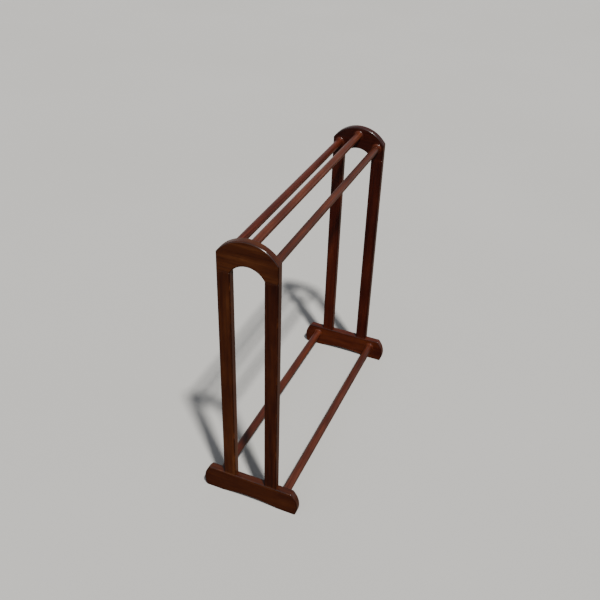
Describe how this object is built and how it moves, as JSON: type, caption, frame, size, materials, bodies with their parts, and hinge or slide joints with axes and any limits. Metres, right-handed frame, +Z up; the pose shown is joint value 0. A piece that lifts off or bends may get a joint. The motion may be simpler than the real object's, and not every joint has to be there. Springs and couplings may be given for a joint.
{
  "type": "quilt rack",
  "caption": "Free-standing wooden quilt rack with arched end frames on long feet, joined by round rails across the top and near the floor.",
  "frame": {"origin": "on the floor, under the middle of the rack", "axes": "+X along the rails, from the left end frame to the right one; +Y from the front to the back; +Z up"},
  "size_m": [0.736, 0.274, 0.8],
  "materials": {
    "crown_board": "mahogany stain under gloss varnish, grain along the rack's depth",
    "leg_board": "mahogany stain under gloss varnish, upright grain",
    "foot_board": "mahogany stain under gloss varnish, grain along the foot",
    "round_rail": "mahogany stain under gloss varnish, grain along the rail",
    "dowel_pin": "bare beech"
  },
  "bodies": {
    "root": {"left_crown": "crown_board", "right_crown": "crown_board", "left_front_leg": "leg_board", "left_back_leg": "leg_board", "right_front_leg": "leg_board", "right_back_leg": "leg_board", "left_foot": "foot_board", "right_foot": "foot_board", "top_rail_front": "round_rail", "top_rail_center": "round_rail", "top_rail_back": "round_rail", "bottom_rail_front": "round_rail", "bottom_rail_back": "round_rail", "left_front_leg_top_dowels": "dowel_pin", "left_front_leg_bottom_dowels": "dowel_pin", "left_back_leg_top_dowels": "dowel_pin", "left_back_leg_bottom_dowels": "dowel_pin", "right_front_leg_top_dowels": "dowel_pin", "right_front_leg_bottom_dowels": "dowel_pin", "right_back_leg_top_dowels": "dowel_pin", "right_back_leg_bottom_dowels": "dowel_pin"}
  },
  "joints": []
}
